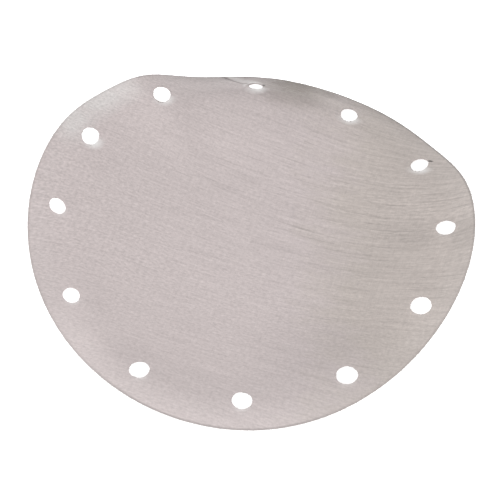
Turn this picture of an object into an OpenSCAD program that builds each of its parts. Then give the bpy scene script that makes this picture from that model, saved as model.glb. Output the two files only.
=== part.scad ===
// Disc of woven stainless wire cloth with a ring of punched bolt holes.
// The sheet keeps the curl of the roll it was cut from, and its rim is bent in places.
// Millimetres. +Z is up, the disc lies on Z = 0, +Y is the rear, and the origin is under
// the middle of the disc's bounding box. Directions are degrees counter-clockwise from +X.

/* [Disc] */
// diameter of the disc, measured along the sheet
disc_d = 230; // [190:1:260]
// thickness of the cloth over its ridges
sheet_t = 0.5; // [0.4:0.05:0.8]

/* [Bolt holes] */
// number of holes, evenly spaced
hole_n = 12; // [6:1:16]
// diameter of each hole
hole_d = 10; // [6:0.5:12]
// distance from a hole's centre out to the rim, along the sheet
hole_edge = 15; // [12:0.5:18]
// direction of the first hole
hole_dir = 28; // [0:0.5:30]

/* [Weave] */
// number of ridges across the disc
ridge_n = 80; // [50:1:90]
// depth of the valley between two ridges, on each face
ridge_h = 0.12; // [0.05:0.01:0.15]
// direction of the ridges, which is also the length of the roll
roll_dir = -17; // [-45:1:45]

/* [Curl] */
// radius of the curl on the left half
curl_left_r = 181; // [160:1:400]
// radius of the curl on the right half
curl_right_r = 274; // [160:1:400]
// radius of the middle of the disc, which has no swells
calm_r = 29; // [20:1:40]

/* [Rear swell] */
// direction of the swell
rear_dir = 85; // [70:1:100]
// height it adds at the rim
rear_rise = 28; // [0:0.5:30]
// half-width around the rim, in degrees
rear_half = 27; // [20:1:35]

/* [Corner swell] */
// direction of the swell
corner_dir = 120; // [105:1:135]
// height it adds at the rim
corner_rise = 7; // [0:0.5:9]
// half-width around the rim, in degrees
corner_half = 11; // [10:0.5:16]

/* [Front swell] */
// direction of the swell
front_dir = 243; // [225:1:260]
// height it adds at the rim
front_rise = 13; // [0:0.5:16]
// half-width around the rim, in degrees
front_half = 40; // [30:1:50]

/* [Folds] */
// distance from the hole centres in to the line where the rim folds down
fold_in = 7; // [6:0.5:12]
// length over which a fold is rounded
fold_soft = 4; // [3:0.5:8]
// direction of the rear fold
rear_fold_dir = 88; // [75:1:100]
// drop of the rim at the rear fold
rear_drop = 25; // [0:0.5:26]
// half-width of the rear fold around the rim, in degrees
rear_fold_half = 35; // [25:1:45]
// direction of the side fold
side_fold_dir = 31; // [15:1:45]
// drop of the rim at the side fold
side_drop = 6; // [0:0.5:8]
// half-width of the side fold around the rim, in degrees
side_fold_half = 17; // [12:1:25]
// direction of the front fold
front_fold_dir = 263; // [250:1:280]
// drop of the rim at the front fold
front_drop = 10.5; // [0:0.5:12]
// half-width of the front fold around the rim, in degrees
front_fold_half = 54; // [40:1:60]

/* [Hidden] */
disc_r = disc_d / 2;
hole_ring_r = disc_r - hole_edge;
fold_r = hole_ring_r - fold_in;
// two lines to a ridge, one on its crest and one in the valley beside it
line_n = 2 * ridge_n;
// straight pieces along one line
piece_n = 14;
// half-length of the shortest line, at the front and at the rear
tip = 4;
side = sqrt(disc_r * disc_r - tip * tip);
// steps in which the length of the sheet is followed outward
step_n = 16;
ones = [for (i = [1:step_n]) 1];

function unit(v) = v / norm(v);

// share of a swell or fold that is felt in direction a
function bell(a, dir, half) =
    let (d = (a - dir + 720) % 360, e = min(d, 360 - d))
    exp(-pow(e / half, 2));

function swells(a) =
    rear_rise * bell(a, rear_dir, rear_half)
    + corner_rise * bell(a, corner_dir, corner_half)
    + front_rise * bell(a, front_dir, front_half);

function folds(a) =
    rear_drop * bell(a, rear_fold_dir, rear_fold_half)
    + side_drop * bell(a, side_fold_dir, side_fold_half)
    + front_drop * bell(a, front_fold_dir, front_fold_half);

// a line that bends over at zero with a rounding of length fold_soft
function bent(d) = d + sqrt(d * d + fold_soft * fold_soft);

// height of the curl at distance u along the roll
function curl(u) =
    let (r = u < 0 ? curl_left_r : curl_right_r)
    r * (1 - cos(u / r * 180 / PI));

// height at distance s from the centre, in direction a
function height(s, a, swell, fold) =
    curl(s * cos(a - roll_dir))
    + swell * pow(max(0, s - calm_r) / (disc_r - calm_r), 2)
    - fold * bent(s - fold_r) / bent(disc_r - fold_r);

// point of the bent sheet that was at (s, a) when the sheet was flat: a length along the
// sheet stays the same, so the sheet reaches less far out where it rises or falls
function bend(s, a) =
    let (
        swell = swells(a),
        fold = folds(a),
        ds = s / step_n,
        z = [for (i = [0:step_n]) height(i * ds, a, swell, fold)],
        out = [for (i = [1:step_n]) sqrt(max(ds * ds - pow(z[i] - z[i - 1], 2), 0.04 * ds * ds))] * ones
    )
    [out * cos(a), out * sin(a), z[step_n]];

function bend_uv(u, v) = bend(norm([u, v]), atan2(v, u) + roll_dir);

// lines along the roll, with their points closer together toward the rim
function line_v(i) = side * (2 * i / line_n - 1);
function spread(j) = let (t = 2 * j / piece_n - 1) 0.4 * t + 0.6 * sin(90 * t);

middle = [
    for (i = [0:line_n])
        let (v = line_v(i), half = sqrt(disc_r * disc_r - v * v))
        [for (j = [0:piece_n]) bend_uv(half * spread(j), v)]
];

function normal_at(i, j) =
    unit(cross(
        middle[i][min(j + 1, piece_n)] - middle[i][max(j - 1, 0)],
        middle[min(i + 1, line_n)][j] - middle[max(i - 1, 0)][j]
    ));

// half the thickness on a crest line and on a valley line
function half_t(i) = sheet_t / 2 - (i % 2 == 0 ? ridge_h : 0);

top = [for (i = [0:line_n]) for (j = [0:piece_n]) middle[i][j] + half_t(i) * normal_at(i, j)];
bottom = [for (i = [0:line_n]) for (j = [0:piece_n]) middle[i][j] - half_t(i) * normal_at(i, j)];
skin = concat(top, bottom);
low = [for (k = [0:2]) min([for (p = skin) p[k]])];
high = [for (k = [0:2]) max([for (p = skin) p[k]])];
rest = [-(low[0] + high[0]) / 2, -(low[1] + high[1]) / 2, -low[2]];

function t_at(i, j) = i * (piece_n + 1) + j;
function b_at(i, j) = len(top) + t_at(i, j);
function two(a, b, c, d) = [[a, b, c], [a, c, d]];

faces = [
    for (i = [0:line_n - 1]) for (j = [0:piece_n - 1])
        each concat(
            two(t_at(i, j), t_at(i + 1, j), t_at(i + 1, j + 1), t_at(i, j + 1)),
            two(b_at(i, j), b_at(i, j + 1), b_at(i + 1, j + 1), b_at(i + 1, j))
        ),
    for (i = [0:line_n - 1])
        each concat(
            two(t_at(i, piece_n), t_at(i + 1, piece_n), b_at(i + 1, piece_n), b_at(i, piece_n)),
            two(t_at(i + 1, 0), t_at(i, 0), b_at(i, 0), b_at(i + 1, 0))
        ),
    for (j = [0:piece_n - 1])
        each concat(
            two(t_at(0, j), t_at(0, j + 1), b_at(0, j + 1), b_at(0, j)),
            two(t_at(line_n, j + 1), t_at(line_n, j), b_at(line_n, j), b_at(line_n, j + 1))
        )
];

module cloth() {
    polyhedron(points = skin, faces = faces, convexity = 10);
}

// one punched hole, square to the sheet where it is
module hole(a) {
    reach = hole_d / 2;
    across = 180 / PI * reach / hole_ring_r;
    centre = bend(hole_ring_r, a);
    outward = bend(hole_ring_r + reach, a) - bend(hole_ring_r - reach, a);
    around = bend(hole_ring_r, a + across) - bend(hole_ring_r, a - across);
    axis = unit(cross(outward, around));
    translate(centre)
        rotate([0, acos(axis[2]), atan2(axis[1], axis[0])])
            cylinder(d = hole_d, h = hole_d, center = true, $fn = 48);
}

module mesh_disc() {
    color([0.74, 0.72, 0.7])
        translate(rest)
            difference() {
                cloth();
                for (k = [0:hole_n - 1])
                    hole(hole_dir + 360 / hole_n * k);
            }
}

mesh_disc();
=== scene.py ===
import math

import bmesh
import bpy
import numpy as np
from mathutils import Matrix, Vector


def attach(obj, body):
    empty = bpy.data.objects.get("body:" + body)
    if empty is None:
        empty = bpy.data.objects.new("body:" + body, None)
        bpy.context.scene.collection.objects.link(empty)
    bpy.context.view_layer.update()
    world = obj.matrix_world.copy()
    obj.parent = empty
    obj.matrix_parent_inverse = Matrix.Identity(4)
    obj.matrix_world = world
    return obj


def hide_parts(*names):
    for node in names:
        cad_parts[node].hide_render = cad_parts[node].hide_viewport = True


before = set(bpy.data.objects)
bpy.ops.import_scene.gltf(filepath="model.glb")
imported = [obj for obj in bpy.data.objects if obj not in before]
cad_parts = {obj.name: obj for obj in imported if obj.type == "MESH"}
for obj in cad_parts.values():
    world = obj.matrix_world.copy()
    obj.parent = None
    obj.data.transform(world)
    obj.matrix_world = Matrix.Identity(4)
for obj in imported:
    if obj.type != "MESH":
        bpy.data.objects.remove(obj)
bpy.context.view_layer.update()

# Sizes in millimetres and directions in degrees, as in the part's source.
MM = 0.001
DISC_R = 115.0
SHEET_T = 0.5
HOLE_N = 12
HOLE_R = 5.0
HOLE_RING_R = 100.0
HOLE_DIR = 28.0
RIDGE_N = 80
RIDGE_H = 0.12
ROLL_DIR = -17.0
CURL_LEFT_R = 181.0
CURL_RIGHT_R = 274.0
CALM_R = 29.0
FOLD_R = 93.0
FOLD_SOFT = 4.0
# direction, height at the rim and half-width of each swell and each fold
SWELLS = ((85.0, 28.0, 27.0), (120.0, 7.0, 11.0), (243.0, 13.0, 40.0))
FOLDS = ((88.0, 25.0, 35.0), (31.0, 6.0, 17.0), (263.0, 10.5, 54.0))
# steps in which the length of the sheet is followed outward, and the least part of a step's
# square that is left to run outward
STEPS = 16
LEAST_RUN = 0.04
# half-length of the shortest line of the skin, at the front and at the rear
TIP = 4.0
# shift that puts the frame's origin under the middle of the box around the sheet
REST = np.array([-1.729, 1.748, 0.866])
# spacing and radius of the single wires
WIRE_PITCH = 0.42
WIRE_R = 0.1

rng = np.random.default_rng(7)


def bells(a, waves):
    """Height of all the waves at the rim, in directions a."""
    total = np.zeros_like(a)
    for way, rise, half in waves:
        e = np.abs((a - way + 180.0) % 360.0 - 180.0)
        total = total + rise * np.exp(-((e / half) ** 2))
    return total


def bent(d):
    """A line that bends over at zero with a rounding of length FOLD_SOFT."""
    return d + np.sqrt(d * d + FOLD_SOFT * FOLD_SOFT)


def bend(s, a):
    """Points of the bent sheet, in mm, for distances s and directions a on the flat sheet."""
    s = np.asarray(s, float)
    a = np.asarray(a, float)
    swell, fold = bells(a, SWELLS), bells(a, FOLDS)
    along = np.cos(np.radians(a - ROLL_DIR))

    def height(d):
        u = d * along
        r = np.where(u < 0, CURL_LEFT_R, CURL_RIGHT_R)
        rise = swell * (np.maximum(0.0, d - CALM_R) / (DISC_R - CALM_R)) ** 2
        drop = fold * bent(d - FOLD_R) / bent(DISC_R - FOLD_R)
        return r * (1 - np.cos(u / r)) + rise - drop

    ds = s / STEPS
    z = [height(ds * i) for i in range(STEPS + 1)]
    out = 0.0
    for i in range(STEPS):
        out = out + np.sqrt(np.maximum(ds * ds - (z[i + 1] - z[i]) ** 2, LEAST_RUN * ds * ds))
    t = np.radians(a)
    return np.stack([out * np.cos(t), out * np.sin(t), z[STEPS]], -1)


def bend_uv(u, v):
    """Points of the bent sheet for distances u along the roll and v across it."""
    return bend(np.hypot(u, v), np.degrees(np.arctan2(v, u)) + ROLL_DIR)


def unit(v):
    return v / np.linalg.norm(v, axis=-1, keepdims=True)


def frame_uv(u, v):
    """Point, unit tangents along u and v, and normal of the sheet."""
    probe = 0.6
    inside = DISC_R - 0.01
    k = np.minimum(1.0, inside / np.maximum(np.hypot(u, v), 1e-6))
    u, v = u * k, v * k
    p = bend_uv(u, v)
    tu = unit(bend_uv(u + probe, v) - bend_uv(u - probe, v))
    tv = unit(bend_uv(u, v + probe) - bend_uv(u, v - probe))
    return p, tu, tv, unit(np.cross(tu, tv))


# The sheet's skin is laid out as in the source: lines along the roll, here four to a ridge.
LINES_PER_RIDGE = 4
LINES = LINES_PER_RIDGE * RIDGE_N
PIECES = 96
# how evenly the points lie along a line; the rest draws them toward the rim
EVEN = 0.6
side = math.sqrt(DISC_R**2 - TIP**2)
row = np.arange(LINES + 1)
col = np.arange(PIECES + 1)
line_v = side * (2 * row / LINES - 1)
half = np.sqrt(DISC_R**2 - line_v**2)
t = 2 * col / PIECES - 1
spread = EVEN * t + (1 - EVEN) * np.sin(np.pi / 2 * t)
grid_u = half[:, None] * spread[None, :]
grid_v = np.broadcast_to(line_v[:, None], grid_u.shape)
middle, _, _, normal = frame_uv(grid_u, grid_v)

# A valley lies on every fourth line. Its depth comes and goes along the wires.
WORN_LEAST = 0.15
WORN_KNOT = 11.0


def uneven(rows, u):
    """Smooth random values from 0 to 1 along u, a new set for each row."""
    knots = rng.random((rows, int(2 * DISC_R / WORN_KNOT) + 3))
    at = (u + DISC_R) / WORN_KNOT
    i = np.clip(at.astype(int), 0, knots.shape[1] - 2)
    f = at - i
    f = f * f * (3 - 2 * f)
    k = np.broadcast_to(np.arange(rows)[:, None], u.shape)
    return knots[k, i] * (1 - f) + knots[k, i + 1] * f


valley = np.round(row / LINES_PER_RIDGE).astype(int)
depth = RIDGE_H * (1 - np.abs(np.sin(np.pi * row / LINES_PER_RIDGE)))
worn = uneven(RIDGE_N + 1, grid_u[::LINES_PER_RIDGE])[valley]
worn = WORN_LEAST + (1 - WORN_LEAST) * worn
half_t = (SHEET_T / 2 - depth[:, None] * worn)[..., None]

# A pressed crease runs from the rim to the hole at the rear, with a small flap behind it. It
# fades out at both ends and where the flap is narrow, and is rounded on its front side.
CREASE_U = (-50.0, -47.7, -39.1, -31.4, -26.0)
CREASE_V = (105.6, 104.6, 103.0, 99.8, 98.6)
CREASE_FROM = -50.0
CREASE_TO = -29.0
CREASE_DEEP = 1.3
CREASE_FADE = 6.0
CREASE_ROUND = 2.2
FLAP_LEAST = 0.5


def fade(distance):
    return np.clip(distance / CREASE_FADE, 0, 1)


crease_v = np.interp(grid_u, CREASE_U, CREASE_V)
flap = np.sqrt(np.maximum(DISC_R**2 - grid_u**2, 0.0)) - crease_v
beyond = grid_v - crease_v
faded = fade(grid_u - CREASE_FROM) * fade(CREASE_TO - grid_u) * fade(flap)
before = np.exp(-((beyond / CREASE_ROUND) ** 2))
behind = np.clip(1 - beyond / np.maximum(flap, FLAP_LEAST), 0, 1)
groove = np.where(beyond < 0, before, behind)
middle = middle - normal * (CREASE_DEEP * faded * groove)[..., None]

top = middle + normal * half_t
bottom = middle - normal * half_t


def add_mesh(name, verts_mm, faces, uv=None):
    """A new object from points in mm, with the sheet's own coordinates where given."""
    mesh = bpy.data.meshes.new(name)
    mesh.from_pydata(((verts_mm + REST) * MM).tolist(), [], faces)
    if uv is not None:
        layer = mesh.uv_layers.new(name="roll")
        loops = np.empty(len(mesh.loops), dtype=np.int32)
        mesh.loops.foreach_get("vertex_index", loops)
        layer.data.foreach_set("uv", uv[loops].astype(np.float32).ravel())
    obj = bpy.data.objects.new(name, mesh)
    bpy.context.scene.collection.objects.link(obj)
    return obj


def sheet_faces():
    """Faces of the skin: top, bottom and the four sides between them."""
    m = PIECES + 1
    n0 = (LINES + 1) * m
    idx = (row[:-1, None] * m + col[None, :-1]).ravel()
    up = np.stack([idx, idx + 1, idx + m + 1, idx + m], 1)
    down = np.stack([idx, idx + m, idx + m + 1, idx + 1], 1) + n0
    r = row[:-1] * m + PIECES
    right = np.stack([r, r + n0, r + m + n0, r + m], 1)
    q = row[:-1] * m
    left = np.stack([q + m, q + m + n0, q + n0, q], 1)
    c = col[:-1]
    front = np.stack([c, c + n0, c + 1 + n0, c + 1], 1)
    c = c + LINES * m
    rear = np.stack([c + 1, c + 1 + n0, c + n0, c], 1)
    return np.concatenate([up, down, right, left, front, rear]).tolist()


flat_uv = np.stack([grid_u.ravel(), grid_v.ravel()], 1)
cloth = add_mesh(
    "woven_cloth",
    np.concatenate([top.reshape(-1, 3), bottom.reshape(-1, 3)]),
    sheet_faces(),
    np.concatenate([flat_uv, flat_uv]),
)

# The holes are punched square to the sheet.
hole_a = HOLE_DIR + 360.0 / HOLE_N * np.arange(HOLE_N)
hole_half_a = math.degrees(HOLE_R / HOLE_RING_R)


def by_holes(r, a):
    return bend(np.full(HOLE_N, r), a)


hole_p = by_holes(HOLE_RING_R, hole_a)
hole_out = by_holes(HOLE_RING_R + HOLE_R, hole_a) - by_holes(HOLE_RING_R - HOLE_R, hole_a)
hole_round = by_holes(HOLE_RING_R, hole_a + hole_half_a) - by_holes(HOLE_RING_R, hole_a - hole_half_a)
hole_n = unit(np.cross(hole_out, hole_round))
# directions in the plane of each hole: to the right, and toward the rear
RIGHT = np.array([1.0, 0.0, 0.0])
hole_x = unit(RIGHT - hole_n * (RIGHT * hole_n).sum(1, keepdims=True))
hole_y = np.cross(hole_n, hole_x)
# how far each hole is out of round, from the first one on: its width, lean and height
OVAL = (
    (0.93, 0.15, 1.10),
    (0.93, 0.11, 1.17),
    (0.76, 0.0, 0.86),
    (0.93, 0.05, 1.22),
    (0.96, 0.11, 1.11),
    (0.89, -0.02, 0.89),
    (0.86, 0.02, 0.89),
    (1.0, 0.04, 0.88),
    (0.99, -0.02, 0.86),
    (1.06, -0.01, 0.97),
    (1.06, -0.05, 1.11),
    (1.01, -0.07, 1.02),
)
# waves in a hole's edge: their height as a share of the radius, their number, and how far
# they are turned from one hole to the next
WAVES = ((0.012, 3, 1.7), (0.010, 5, 2.9), (0.006, 11, 1.0))


def hole_edge(k, phi):
    """Points on the edge of hole k, and the unit directions out of its middle."""
    wide, lean, tall = OVAL[k]
    x = HOLE_R * (wide * np.cos(phi) + lean * np.sin(phi))
    y = HOLE_R * (lean * np.cos(phi) + tall * np.sin(phi))
    rough = 1.0
    for high, number, turned in WAVES:
        rough = rough + high * np.sin(number * phi + turned * k)
    away = (x * rough)[:, None] * hole_x[k] + (y * rough)[:, None] * hole_y[k]
    return hole_p[k] + away, unit(away)


PUNCH_SIDES = 64
PUNCH_REACH = 4.0
ring = 2 * np.pi * np.arange(PUNCH_SIDES) / PUNCH_SIDES
punch_verts, punch_faces = [], []
for k in range(HOLE_N):
    edge, _ = hole_edge(k, ring)
    reach = PUNCH_REACH * hole_n[k]
    punch_verts.append(np.concatenate([edge - reach, edge + reach]))
    low = [2 * PUNCH_SIDES * k + i for i in range(PUNCH_SIDES)]
    high = [i + PUNCH_SIDES for i in low]
    for i in range(PUNCH_SIDES):
        j = (i + 1) % PUNCH_SIDES
        punch_faces.append((low[i], low[j], high[j], high[i]))
    punch_faces.append(tuple(reversed(low)))
    punch_faces.append(tuple(high))
punch = add_mesh("punch", np.concatenate(punch_verts), punch_faces)
mod = cloth.modifiers.new("holes", "BOOLEAN")
mod.operation = "DIFFERENCE"
mod.solver = "EXACT"
mod.object = punch
bpy.context.view_layer.update()
evaluated = cloth.evaluated_get(bpy.context.evaluated_depsgraph_get())
punched = bpy.data.meshes.new_from_object(evaluated)
cloth.modifiers.clear()
cloth.data = punched
bpy.data.objects.remove(punch)

# Points that the punch left very close together become one, and no face keeps more than four sides.
MERGE = 0.01
SHARP = math.radians(50)
skin = bmesh.new()
skin.from_mesh(punched)
bmesh.ops.remove_doubles(skin, verts=skin.verts, dist=MERGE * MM)
many_sided = [f for f in skin.faces if len(f.verts) > 4]
bmesh.ops.triangulate(skin, faces=many_sided, quad_method="BEAUTY", ngon_method="BEAUTY")
skin.to_mesh(punched)
skin.free()
punched.shade_smooth()
punched.set_sharp_from_angle(angle=SHARP)

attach(cloth, "root")
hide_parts("mesh_disc")

# Cut wire ends stand out of the rim and of the holes' edges. Each starts a little inside the
# edge, over or under the sheet's middle, and is tilted a little, more often down than up.
ENDS_PER_HOLE = 60
END_INSET = 0.5
END_OVER = 0.09
END_LENGTH = 0.55
END_EXTRA = 0.32
END_TILT = 0.16
END_DOWN = 0.55
end_base, end_way, end_up = [], [], []
count = int(2 * DISC_R / WIRE_PITCH) - 1
offset = (np.arange(count) - (count - 1) / 2) * WIRE_PITCH
inset = np.maximum(np.sqrt(DISC_R**2 - offset**2) - END_INSET, 0.0)
for along_u in (True, False):
    for sign in (-1.0, 1.0):
        u, v = (sign * inset, offset) if along_u else (offset, sign * inset)
        p, tu, tv, n = frame_uv(u, v)
        end_base.append(p)
        end_way.append(sign * (tu if along_u else tv))
        end_up.append(n)
hole_t = np.radians(hole_a - ROLL_DIR)
_, hole_tu, hole_tv, _ = frame_uv(HOLE_RING_R * np.cos(hole_t), HOLE_RING_R * np.sin(hole_t))
for k in range(HOLE_N):
    phi = np.sort(rng.random(ENDS_PER_HOLE)) * 2 * np.pi
    edge, away = hole_edge(k, phi)
    away_u, away_v = away @ hole_tu[k], away @ hole_tv[k]
    way_u = -np.sign(away_u)[:, None] * hole_tu[k]
    way_v = -np.sign(away_v)[:, None] * hole_tv[k]
    is_warp = rng.random(ENDS_PER_HOLE) < away_u**2
    end_base.append(edge + END_INSET * away)
    end_way.append(np.where(is_warp[:, None], way_u, way_v))
    end_up.append(np.broadcast_to(hole_n[k], edge.shape))
end_base, end_way, end_up = (np.concatenate(x) for x in (end_base, end_way, end_up))
n_end = len(end_base)
over = np.where(rng.random(n_end) < 0.5, 1.0, -1.0)[:, None] * END_OVER
length = (END_LENGTH + END_EXTRA * rng.random(n_end) ** 2)[:, None]
tilt = (rng.random(n_end)[:, None] - END_DOWN) * END_TILT
end_side = np.cross(end_up, end_way)
heel = end_base + end_up * over
toe = heel + end_way * length + end_up * tilt
square = ((1, 1), (-1, 1), (-1, -1), (1, -1))
corners = [WIRE_R * (a * end_side + b * end_up) for a, b in square]
end_verts = np.stack([heel + c for c in corners] + [toe + c for c in corners], 1).reshape(-1, 3)
end_verts[:, 2] = np.maximum(end_verts[:, 2], -REST[2])
sides = [(i, (i + 1) % 4, (i + 1) % 4 + 4, i + 4) for i in range(4)]
prism = np.array(sides + [(4, 5, 6, 7), (3, 2, 1, 0)])
end_faces = (prism[None] + 8 * np.arange(n_end)[:, None, None]).reshape(-1, 4).tolist()
ends = add_mesh("wire_ends", end_verts, end_faces)
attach(ends, "root")


# Materials are made with the functions below, which add to the tree that `nodes` and `links` name.
def material(name):
    mat = bpy.data.materials.new(name)
    mat.use_nodes = True
    mat.node_tree.nodes.clear()
    return mat, mat.node_tree.nodes, mat.node_tree.links


def node(kind, **values):
    n = nodes.new(kind)
    for k, v in values.items():
        setattr(n, k, v)
    return n


def put(socket, value):
    """Links or sets a socket."""
    if isinstance(value, bpy.types.NodeSocket):
        links.new(value, socket)
    else:
        socket.default_value = value


def dress(obj, mat, shader):
    """Ends the material in the shader, and gives it to the object."""
    end = node("ShaderNodeOutputMaterial")
    links.new(shader.outputs[0], end.inputs["Surface"])
    obj.data.materials.clear()
    obj.data.materials.append(mat)


def calc(op, a, b=0.0, c=0.0):
    n = node("ShaderNodeMath", operation=op)
    for i, v in enumerate((a, b, c)):
        if i < len(n.inputs):
            put(n.inputs[i], v)
    return n.outputs[0]


def plus(a, b):
    return calc("ADD", a, b)


def minus(a, b):
    return calc("SUBTRACT", a, b)


def product(first, *others):
    for other in others:
        first = calc("MULTIPLY", first, other)
    return first


def weigh(*pairs):
    """The sum of values times weights."""
    total = 0.0
    for value, weight in pairs:
        total = calc("MULTIPLY_ADD", value, weight, total)
    return total


def far(x, y):
    """How far the point x, y is from the origin."""
    return calc("SQRT", plus(product(x, x), product(y, y)))


def ramp(value, span, to=(0.0, 1.0)):
    """The value carried from one span to another, and held at its ends."""
    n = node("ShaderNodeMapRange", clamp=True)
    for i, v in enumerate((value, *span, *to)):
        put(n.inputs[i], v)
    return n.outputs[0]


def blend_colour(factor, a, b, kind="MIX"):
    n = node("ShaderNodeMix", data_type="RGBA", blend_type=kind)
    put(n.inputs[0], factor)
    put(n.inputs[6], a)
    put(n.inputs[7], b)
    return n.outputs[2]


def times(colour, factor):
    """The colour times a grey factor."""
    grey = node("ShaderNodeCombineXYZ")
    for i in range(3):
        put(grey.inputs[i], factor)
    return blend_colour(1.0, colour, grey.outputs[0], "MULTIPLY")


def darken(colour, share):
    return times(colour, minus(1.0, share))


# Cloth. U runs along the roll and flat_v across it, in mm on the flat sheet.
mat, nodes, links = material("stainless_cloth")
uv = node("ShaderNodeUVMap", uv_map="roll")
split = node("ShaderNodeSeparateXYZ")
put(split.inputs[0], uv.outputs[0])
U, flat_v = split.outputs[0], split.outputs[1]
radius = far(U, flat_v)
turn = calc("ARCTAN2", flat_v, U)
roll = math.radians(ROLL_DIR)
flat_x = calc("MULTIPLY_ADD", U, math.cos(roll), product(flat_v, -math.sin(roll)))


def toward(way):
    """1 in the given direction from the middle of the sheet, 0 square to it."""
    return calc("COSINE", minus(turn, math.radians(way - ROLL_DIR)))


def within(u, v, wide, tall):
    """Distance from a point of the sheet, 1 at the edge of an oval round it."""
    return far(calc("DIVIDE", minus(U, u), wide), calc("DIVIDE", minus(flat_v, v), tall))


# The wires run with a slight bow, as in cloth that was rolled unevenly. They slope, twist about
# one place along the roll, flick up at the right rear and droop at the left front.
SLOPE = 0.1
TWIST_U, TWIST = 15.0, 7.3e-6
FLICK_U, FLICK = 55.0, 0.0035
DROOP_U, DROOP = 45.0, 0.00095
skew = minus(U, TWIST_U)
twist = product(skew, skew, skew, TWIST)
flick = calc("MAXIMUM", minus(U, FLICK_U), 0.0)
flick = product(flick, flick, ramp(flat_v, span=(-15.0, 40.0), to=(0.0, FLICK)))
droop = calc("MAXIMUM", minus(DROOP_U, U), 0.0)
droop = product(droop, droop, ramp(flat_v, span=(-60.0, 20.0), to=(DROOP, 0.0)))
bow = minus(plus(twist, flick), plus(droop, product(U, SLOPE)))
V = minus(flat_v, bow)

# single wires: warp along U over and under weft along V
CROWN = 0.45
wave_v = calc("SINE", product(V, math.pi / WIRE_PITCH))
wave_u = calc("SINE", product(U, math.pi / WIRE_PITCH))
crown = product(wave_v, wave_u, CROWN)
warp = plus(calc("ABSOLUTE", wave_v), crown)
weft = minus(calc("ABSOLUTE", wave_u), crown)
weave = calc("MAXIMUM", warp, weft)


def noise(length, width, detail=2.0, rough=0.5):
    """Unevenness of the given size in mm along and across the wires."""
    at = node("ShaderNodeCombineXYZ")
    put(at.inputs[0], product(U, 1 / length))
    put(at.inputs[1], product(V, 1 / width))
    n = node("ShaderNodeTexNoise", noise_dimensions="2D")
    put(n.inputs["Vector"], at.outputs[0])
    put(n.inputs["Scale"], 1.0)
    put(n.inputs["Detail"], detail)
    put(n.inputs["Roughness"], rough)
    return n.outputs[0]


# The cloth was beaten unevenly: specks, fine short streaks, longer ones, faint ones across, and
# thin dark lines. The streaks show most on the right.
speck = noise(length=2.0, width=0.85, rough=0.55)
fine = noise(length=3.0, width=1.05, rough=0.6)
streak = noise(length=24.0, width=1.5, detail=3.0, rough=0.55)
faint = noise(length=0.7, width=7.0)
wander = noise(length=62.0, width=7.0, rough=0.55)
drawn_out = noise(length=38.0, width=1.1, detail=1.0)
patchy = noise(length=17.0, width=9.0, detail=3.0, rough=0.6)
cloudy = noise(length=55.0, width=45.0)
streaky = product(
    ramp(U, span=(-100.0, 75.0)),
    ramp(flat_v, span=(-45.0, 20.0), to=(0.2, 1.0)),
    ramp(flat_v, span=(45.0, 90.0), to=(1.0, 0.6)),
)
plain = weigh((speck, 0.62), (streak, 0.22), (faint, 0.16))
drawn = weigh((fine, 0.46), (streak, 0.37), (faint, 0.17))
grain = weigh((plain, minus(1.0, streaky)), (drawn, streaky))
short_line = product(
    ramp(calc("ABSOLUTE", minus(wander, 0.5)), span=(0.0, 0.02), to=(1.0, 0.0)),
    ramp(streak, span=(0.42, 0.62)),
)
long_line = product(
    ramp(drawn_out, span=(0.28, 0.40), to=(1.0, 0.0)),
    ramp(patchy, span=(0.35, 0.6), to=(0.4, 1.0)),
)
line = calc("MAXIMUM", short_line, long_line)
line = product(line, calc("MULTIPLY_ADD", streaky, 0.7, 0.3))

# The colour goes from rosy on the left to a warmer grey on the right, with an uneven border.
ROSY = (0.566, 0.503, 0.497, 1.0)
WARM = (0.534, 0.479, 0.450, 1.0)
BORDER = 40.0
border = plus(flat_x, weigh((cloudy, BORDER), (patchy, BORDER)))
tint = blend_colour(ramp(border, span=(58.0, 98.0)), ROSY, WARM)
# the colour is also brighter on the left and darker toward the right
tint = times(tint, ramp(flat_x, span=(-DISC_R, DISC_R), to=(1.14, 0.96)))

# painted highlight: the rim is lighter at the rear left
RIM_HIGHLIGHT_WAY = 139.5
RIM_HIGHLIGHT = (0.785, 0.765, 0.75, 1.0)
rim_highlight = product(
    ramp(radius, span=(100.0, 109.0)),
    ramp(toward(RIM_HIGHLIGHT_WAY), span=(0.95, 0.98), to=(0.06, 0.64)),
    ramp(patchy, span=(0.3, 0.6), to=(0.6, 1.0)),
)
tint = blend_colour(rim_highlight, tint, RIM_HIGHLIGHT)

# weave and streaks
GRAIN_SPAN = (0.3, 0.7)
MEAN = 0.99
LINE_DARK = 0.17
contrast = product(
    ramp(flat_v, span=(-85.0, -30.0), to=(0.78, 1.0)),
    ramp(streaky, span=(0.0, 1.0), to=(0.79, 0.88)),
)
tint = times(tint, calc("MULTIPLY_ADD", ramp(grain, GRAIN_SPAN, to=(-0.2, 0.2)), contrast, MEAN))
tint = darken(tint, product(line, LINE_DARK))
tint = times(tint, ramp(weave, span=(0.35, 0.9), to=(0.8, 1.04)))

# the rim's very edge is darker, most of all at the rear right and in front; a wider strip at the
# rear carries painted shade, where the sheet turns away
EDGE_REAR_WAY = 60.0
EDGE_FRONT_WAY = 262.0
SHADE_STRIP_WAY = 76.0
edge_rear = ramp(toward(EDGE_REAR_WAY), span=(0.3, 0.9), to=(0.12, 0.4))
edge_front = ramp(toward(EDGE_FRONT_WAY), span=(0.7, 0.95), to=(0.0, 0.28))
edge = product(ramp(radius, span=(113.8, 114.6)), calc("MAXIMUM", edge_rear, edge_front))
tint = darken(tint, edge)
painted_strip = ramp(toward(SHADE_STRIP_WAY), span=(0.7, 0.92), to=(0.0, 0.19))
tint = darken(tint, product(ramp(radius, span=(106.0, 113.0)), painted_strip))
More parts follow.
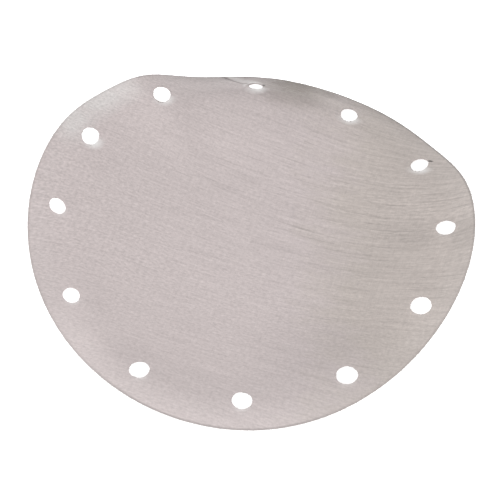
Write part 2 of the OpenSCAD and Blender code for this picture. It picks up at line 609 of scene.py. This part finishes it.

# Painted shade and light in patches: duller in the valley at the rear and inside the front rim,
# brighter by the right rim. Each place has its u and v, half-width, half-height and gain.
PAINTED_SHADE_AND_LIGHT = (
    (-35.0, 95.0, 50.0, 30.0, -0.14),
    (95.0, 42.0, 24.0, 40.0, 0.07),
    (81.0, 22.0, 14.0, 12.0, -0.10),
    (106.0, 21.0, 8.0, 13.0, -0.11),
    (66.0, -2.0, 30.0, 26.0, -0.05),
    (68.0, -62.0, 44.0, 34.0, -0.12),
    (96.0, -35.0, 12.0, 14.0, 0.05),
    (-80.0, -71.0, 24.0, 24.0, -0.04),
    (-56.0, -88.0, 22.0, 14.0, 0.06),
)
# painted shade: a band inside the front rim is darker
SHADE_BAND_WAY = 249.0
for u, v, wide, tall, gain in PAINTED_SHADE_AND_LIGHT:
    tint = times(tint, ramp(within(u, v, wide, tall), span=(0.3, 1.3), to=(1.0 + gain, 1.0)))
front_shade_band = product(
    ramp(radius, span=(84.0, 97.0)),
    ramp(radius, span=(100.0, 112.0), to=(1.0, 0.0)),
    ramp(toward(SHADE_BAND_WAY), span=(0.76, 0.95), to=(0.0, 0.14)),
)
tint = darken(tint, front_shade_band)

# Place beside the nearest hole: outward and round the ring from its middle, its distance, and
# how far toward the rear it is, from -1 to 1. On the left the front side is turned a little.
LEFT_TURN = math.radians(-30.0)
hole_step = 2 * math.pi / HOLE_N
first = math.radians(HOLE_DIR - ROLL_DIR)
off = calc("FLOORED_MODULO", plus(turn, hole_step / 2 - first), hole_step)
off = minus(off, hole_step / 2)
outward = minus(product(radius, calc("COSINE", off)), HOLE_RING_R)
sideways = product(radius, calc("SINE", off))
near = far(outward, sideways)
hole_way = plus(minus(turn, off), roll)
hole_way = plus(hole_way, ramp(U, span=(-100.0, 0.0), to=(LEFT_TURN, 0.0)))
to_rear = plus(
    product(outward, calc("SINE", hole_way)), product(sideways, calc("COSINE", hole_way))
)
to_rear = calc("DIVIDE", to_rear, calc("MAXIMUM", near, 0.1))

# each hole has a paler edge round it, widest on its front side, and there is a paler ring behind
# the hole at the rear
REAR_HOLE = (-26.0, 97.0)
PALE_RING_REACH = 12.0
fringe = product(
    ramp(near, span=(4.8, 9.0), to=(1.0, 0.0)),
    ramp(to_rear, span=(-1.0, -0.25), to=(1.0, 0.0)),
    ramp(calc("MULTIPLY_ADD", U, -0.3, flat_v), span=(10.0, 45.0), to=(0.08, 1.0)),
    ramp(patchy, span=(0.35, 0.6), to=(0.75, 1.0)),
)
pale_ring = product(
    ramp(near, span=(5.3, 6.0)),
    ramp(near, span=(6.4, 7.6), to=(1.0, 0.0)),
    ramp(to_rear, span=(-0.3, 0.5), to=(0.0, 0.45)),
    ramp(within(*REAR_HOLE, PALE_RING_REACH, PALE_RING_REACH), span=(0.8, 1.0), to=(1.0, 0.0)),
    ramp(flat_x, span=(0.0, 8.0), to=(1.0, 0.15)),
)
halo = product(
    ramp(near, span=(4.5, 6.2), to=(1.0, 0.0)),
    ramp(to_rear, span=(-1.0, -0.4), to=(0.4, 0.0)),
)
bright = calc("MAXIMUM", fringe, calc("MAXIMUM", pale_ring, halo))

# painted shade of the fold by the rear rim, as a dull, ragged patch
FOLD_SHADE_TONE = (0.60, 0.59, 0.555, 1.0)
FOLD_SHADE_PLACE = (-8.5, 109.0, 25.0, 25.0)
FOLD_SHADE_RAGGED = 0.7
fold_shade = plus(within(*FOLD_SHADE_PLACE), product(minus(patchy, 0.5), FOLD_SHADE_RAGGED))
tint = blend_colour(ramp(fold_shade, span=(0.25, 1.05), to=(1.0, 0.0)), tint, FOLD_SHADE_TONE, "MULTIPLY")

# painted shade in the crease, with a painted highlight on the strip behind it
CREASE_SLOPE = -0.277
CREASE_V0 = 91.4
CREASE_HIGHLIGHT = (0.72, 0.70, 0.69, 1.0)
above = minus(flat_v, calc("MULTIPLY_ADD", U, CREASE_SLOPE, CREASE_V0))
there = product(ramp(U, span=(-50.0, -46.0)), ramp(U, span=(-28.0, -23.0), to=(1.0, 0.0)))
painted_strip = product(ramp(above, span=(0.5, 2.0)), ramp(above, span=(3.5, 6.5), to=(1.0, 0.0)))
tint = blend_colour(product(painted_strip, there, 0.5), tint, CREASE_HIGHLIGHT)
crease_shade = plus(
    ramp(calc("ABSOLUTE", above), span=(0.2, 1.1), to=(0.2, 0.0)),
    ramp(above, span=(-4.0, 0.0), to=(0.0, 0.25)),
)
crease_shade = product(crease_shade, ramp(above, span=(0.2, 0.8), to=(1.0, 0.0)), there)
tint = darken(tint, crease_shade)

# the paler hole edges, and painted shade at two small burrs beside holes
PALE_EDGE = (0.88, 0.87, 0.86, 1.0)
BURR_SHADES = ((75.4, 75.4, 1.9, 0.9), (-22.2, 99.3, 1.0, 1.8))
tint = blend_colour(bright, tint, PALE_EDGE)
for burr_shade in BURR_SHADES:
    tint = times(tint, ramp(within(*burr_shade), span=(0.45, 1.0), to=(0.25, 1.0)))


def bump(height, strength, deep):
    n = node("ShaderNodeBump")
    put(n.inputs["Height"], height)
    put(n.inputs["Strength"], strength)
    put(n.inputs["Distance"], deep * MM)
    return n


bump_weave = bump(weave, strength=0.5, deep=0.08)
bump_grain = bump(grain, strength=0.6, deep=0.25)
links.new(bump_weave.outputs[0], bump_grain.inputs["Normal"])
lie = node("ShaderNodeTangent", direction_type="UV_MAP", uv_map="roll")
steel = node("ShaderNodeBsdfPrincipled")
put(steel.inputs["Base Color"], tint)
put(steel.inputs["Metallic"], 0.3)
put(steel.inputs["Roughness"], ramp(grain, GRAIN_SPAN, to=(0.62, 0.5)))
put(steel.inputs["Anisotropic"], 0.4)
put(steel.inputs["Normal"], bump_grain.outputs[0])
put(steel.inputs["Tangent"], lie.outputs[0])
dress(cloth, mat, steel)

# Cut wire ends: bare steel, darker in the cut.
CUT_DARK = (0.36, 0.33, 0.32, 1.0)
CUT_PALE = (0.60, 0.56, 0.54, 1.0)
mat, nodes, links = material("cut_wire")
where = node("ShaderNodeTexCoord")
spots = node("ShaderNodeTexNoise")
put(spots.inputs["Vector"], where.outputs["Object"])
put(spots.inputs["Scale"], 900.0)
put(spots.inputs["Detail"], 2.0)
wire = node("ShaderNodeBsdfPrincipled")
put(wire.inputs["Base Color"], blend_colour(spots.outputs[0], CUT_DARK, CUT_PALE))
put(wire.inputs["Metallic"], 0.4)
put(wire.inputs["Roughness"], ramp(spots.outputs[0], GRAIN_SPAN, to=(0.55, 0.4)))
dress(ends, mat, wire)

# Floor: plain and white, with the disc's soft shadow on it. It lies just under the disc.
FLOOR_HALF = 3.0
FLOOR_GAP = 0.05
FLOOR_COLOUR = (0.86, 0.86, 0.86, 1.0)
FLOOR_GLOW = 0.75
WHITE = (1.0, 1.0, 1.0, 1.0)
floor_verts = [(FLOOR_HALF * x, FLOOR_HALF * y, 0.0) for x, y in ((-1, -1), (1, -1), (1, 1), (-1, 1))]
floor_mesh = bpy.data.meshes.new("floor")
floor_mesh.from_pydata(floor_verts, [], [(0, 1, 2, 3)])
floor = bpy.data.objects.new("floor", floor_mesh)
bpy.context.scene.collection.objects.link(floor)
floor.location.z = -FLOOR_GAP * MM
mat, nodes, links = material("floor_white")
paint = node("ShaderNodeBsdfDiffuse")
put(paint.inputs["Color"], FLOOR_COLOUR)
path = node("ShaderNodeLightPath")
seen = calc("MAXIMUM", path.outputs["Is Camera Ray"], path.outputs["Is Glossy Ray"])
seen = calc("MAXIMUM", seen, path.outputs["Is Transmission Ray"])
glow = node("ShaderNodeEmission")
put(glow.inputs["Color"], WHITE)
put(glow.inputs["Strength"], product(seen, FLOOR_GLOW))
both = node("ShaderNodeAddShader")
links.new(paint.outputs[0], both.inputs[0])
links.new(glow.outputs[0], both.inputs[1])
dress(floor, mat, both)

# Soft studio light.
SKY = 0.72
LAMP_SIZE = 0.9
world = bpy.data.worlds.new("studio")
bpy.context.scene.world = world
world.use_nodes = True
sky = world.node_tree.nodes["Background"]
sky.inputs["Color"].default_value = WHITE
sky.inputs["Strength"].default_value = SKY


def lamp(name, where, power):
    """A round soft lamp that faces the disc."""
    light = bpy.data.lights.new(name, "AREA")
    light.shape = "DISK"
    light.size = LAMP_SIZE
    light.energy = power
    obj = bpy.data.objects.new(name, light)
    bpy.context.scene.collection.objects.link(obj)
    obj.location = where
    obj.rotation_euler = (-Vector(where)).to_track_quat("-Z", "Y").to_euler()


lamp("key", (0.0, -0.92, 0.92), power=7.0)
lamp("back", (-0.8, 0.5, 0.8), power=3.0)

# Camera, at the photograph's viewing angle.
ELEVATION = math.radians(50.93)
DISTANCE = 1.1163
AIM = Vector((-0.00136, -0.00254, 0.00087))
cam = bpy.data.cameras.new("camera")
cam.sensor_width = 36.0
cam.lens = 159.3
cam_obj = bpy.data.objects.new("camera", cam)
bpy.context.scene.collection.objects.link(cam_obj)
cam_obj.location = AIM + DISTANCE * Vector((0.0, -math.cos(ELEVATION), math.sin(ELEVATION)))
cam_obj.rotation_euler = (math.pi / 2 - ELEVATION, 0.0, 0.0)
bpy.context.scene.camera = cam_obj

bpy.context.scene.view_settings.view_transform = "Standard"
